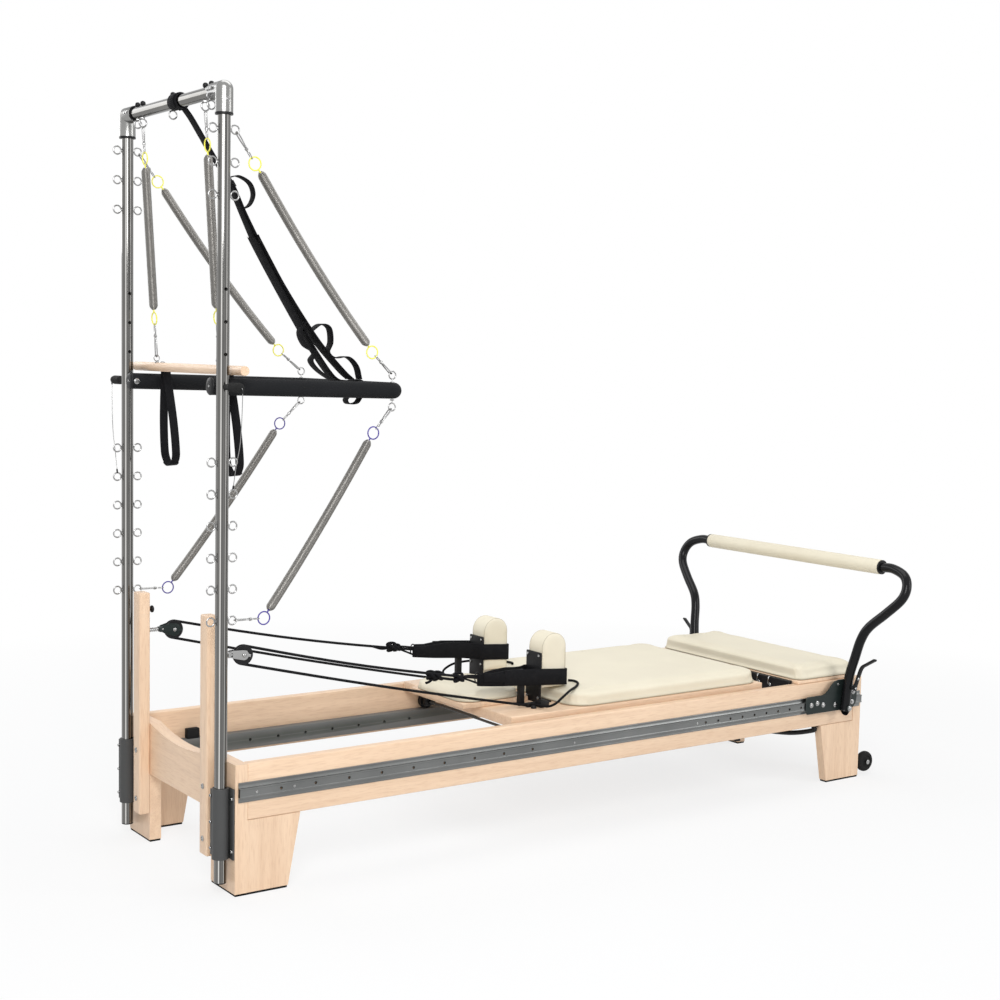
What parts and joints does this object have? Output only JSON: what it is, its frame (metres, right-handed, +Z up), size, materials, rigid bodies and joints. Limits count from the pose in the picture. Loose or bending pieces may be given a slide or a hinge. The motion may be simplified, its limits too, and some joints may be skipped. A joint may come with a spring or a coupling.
{
  "type": "pilates reformer with tower",
  "caption": "Wooden pilates reformer with a padded sliding carriage, footbar, ropes with loops, and a steel tower with a sprung push-through bar, a roll-down bar and a safety strap.",
  "frame": {"origin": "middle of the footprint, on the floor", "axes": "+X toward the foot end with the footbar, the tower at -X; +Y across the bed, away from the camera; +Z up"},
  "size_m": [2.4958, 1.1274, 2.0965],
  "materials": {
    "maple": "pale maple, satin lacquer",
    "cream_vinyl": "cream upholstery vinyl, fine grain",
    "black_plastic": "black moulded plastic",
    "grip_foam": "matte black foam grip over a tube",
    "webbing": "black woven webbing",
    "stainless": "polished stainless steel",
    "track_aluminium": "satin anodised aluminium",
    "spring_steel": "dark oiled spring steel",
    "grey_powder": "dark grey powder coat",
    "black_gloss": "gloss black powder coat",
    "wheel_rubber": "black rubber",
    "rope": "black braided cord"
  },
  "bodies": {
    "frame": {"side_rail_near": "maple", "side_rail_far": "maple", "head_end": "maple", "foot_end": "maple", "outer_track_near": "track_aluminium", "outer_track_far": "track_aluminium", "inner_track_near": "grey_powder", "inner_track_far": "grey_powder", "bow_tube": "grey_powder", "upright_near": "stainless", "upright_far": "stainless", "sleeve_near": "grey_powder", "sleeve_far": "grey_powder", "tower_post_near": "maple", "tower_post_far": "maple", "elbow_near": "track_aluminium", "elbow_far": "track_aluminium", "crossbar": "stainless", "platform_board": "maple", "platform_pad": "cream_vinyl", "spring_bar": "grey_powder", "pulley_block_near": "stainless", "pulley_block_far": "stainless", "footbar_bracket_near": "grey_powder", "footbar_bracket_far": "grey_powder"},
    "carriage": {"carriage_frame": "maple", "main_pad": "cream_vinyl", "shoulder_rest_near": "cream_vinyl", "shoulder_rest_far": "cream_vinyl", "foot_loop_near": "webbing", "foot_loop_far": "webbing", "carriage_springs": "stainless", "rope_near": "rope", "rope_far": "rope"},
    "headrest": {"headrest_board": "maple", "headrest_pad": "cream_vinyl"},
    "front_axle": {"front_rollers": "black_plastic"},
    "rear_axle": {"rear_rollers": "black_plastic"},
    "footbar": {"footbar_tube": "black_gloss", "footbar_sleeve": "cream_vinyl"},
    "near_lever": {"lever_near": "grey_powder"},
    "far_lever": {"lever_far": "grey_powder"},
    "push_bar": {"push_through_bar": "grip_foam", "safety_strap": "webbing", "upper_spring_near": "spring_steel", "upper_spring_far": "spring_steel", "lower_spring_near": "spring_steel", "lower_spring_far": "spring_steel"},
    "roll_down": {"roll_down_bar": "maple", "vertical_spring_near": "spring_steel", "vertical_spring_far": "spring_steel", "hand_loop_near": "webbing", "hand_loop_far": "webbing"},
    "near_sheave": {"sheave_near": "black_plastic"},
    "far_sheave": {"sheave_far": "black_plastic"},
    "near_pin": {"pull_pin_near": "black_plastic"},
    "far_pin": {"pull_pin_far": "black_plastic"},
    "near_wheel": {"wheel_near": "wheel_rubber"},
    "far_wheel": {"wheel_far": "wheel_rubber"}
  },
  "joints": [
    {"name": "carriage_slide", "type": "slide", "parent": "frame", "child": "carriage", "axis": [1, 0, 0], "range_m": [-0.779, 0], "stiffness_N_per_m": 120, "springref_m": 0.15, "deforming": ["rope_near", "rope_far", "carriage_springs"]},
    {"name": "front_roller_spin", "type": "hinge", "parent": "carriage", "child": "front_axle", "pos_m": [-0.1811, 0, 0.2883], "axis": [0, 1, 0], "range_deg": [-1880, 20]},
    {"name": "rear_roller_spin", "type": "hinge", "parent": "carriage", "child": "rear_axle", "pos_m": [0.6689, 0, 0.2883], "axis": [0, 1, 0], "range_deg": [-1880, 20]},
    {"name": "headrest_tilt", "type": "hinge", "parent": "carriage", "child": "headrest", "pos_m": [-0.0961, 0, 0.3626], "axis": [0, 1, 0], "range_deg": [0, 20]},
    {"name": "footbar_tilt", "type": "hinge", "parent": "frame", "child": "footbar", "pos_m": [1.0559, 0, 0.261], "axis": [0, 1, 0], "range_deg": [-20, 60]},
    {"name": "near_lever_pull", "type": "hinge", "parent": "footbar", "child": "near_lever", "pos_m": [1.06338, -0.4076, 0.3311], "axis": [0, -1, 0], "range_deg": [0, 15], "stiffness_Nm_per_rad": 3},
    {"name": "far_lever_pull", "type": "hinge", "parent": "footbar", "child": "far_lever", "pos_m": [1.06338, 0.4076, 0.3311], "axis": [0, -1, 0], "range_deg": [0, 15], "stiffness_Nm_per_rad": 3},
    {"name": "push_bar_swing", "type": "hinge", "parent": "frame", "child": "push_bar", "pos_m": [-1.2051, 0, 1.325], "axis": [0, 1, 0], "range_deg": [0, 15], "stiffness_Nm_per_rad": 300, "springref_deg": -2.86, "deforming": ["upper_spring_near", "upper_spring_far", "lower_spring_near", "lower_spring_far", "safety_strap"]},
    {"name": "roll_down_swing", "type": "hinge", "parent": "frame", "child": "roll_down", "pos_m": [-1.2051, 0, 2.032], "axis": [0, -1, 0], "range_deg": [0, 25]},
    {"name": "near_sheave_spin", "type": "hinge", "parent": "frame", "child": "near_sheave", "pos_m": [-1.1011, -0.2245, 0.612], "axis": [0, 1, 0], "continuous": true},
    {"name": "far_sheave_spin", "type": "hinge", "parent": "frame", "child": "far_sheave", "pos_m": [-1.1011, 0.2245, 0.612], "axis": [0, 1, 0], "continuous": true},
    {"name": "near_wheel_spin", "type": "hinge", "parent": "frame", "child": "near_wheel", "pos_m": [1.2129, -0.338, 0.046], "axis": [0, 1, 0], "continuous": true},
    {"name": "far_wheel_spin", "type": "hinge", "parent": "frame", "child": "far_wheel", "pos_m": [1.2129, 0.338, 0.046], "axis": [0, 1, 0], "continuous": true},
    {"name": "near_pin_pull", "type": "slide", "parent": "frame", "child": "near_pin", "axis": [0, -1, 0], "range_m": [0, 0.03], "stiffness_N_per_m": 400},
    {"name": "far_pin_pull", "type": "slide", "parent": "frame", "child": "far_pin", "axis": [0, 1, 0], "range_m": [0, 0.03], "stiffness_N_per_m": 400}
  ],
  "couplings": [
    {"joint": "front_roller_spin", "follows": "carriage_slide", "rad_per_m": 41.667},
    {"joint": "rear_roller_spin", "follows": "carriage_slide", "rad_per_m": 41.667}
  ]
}
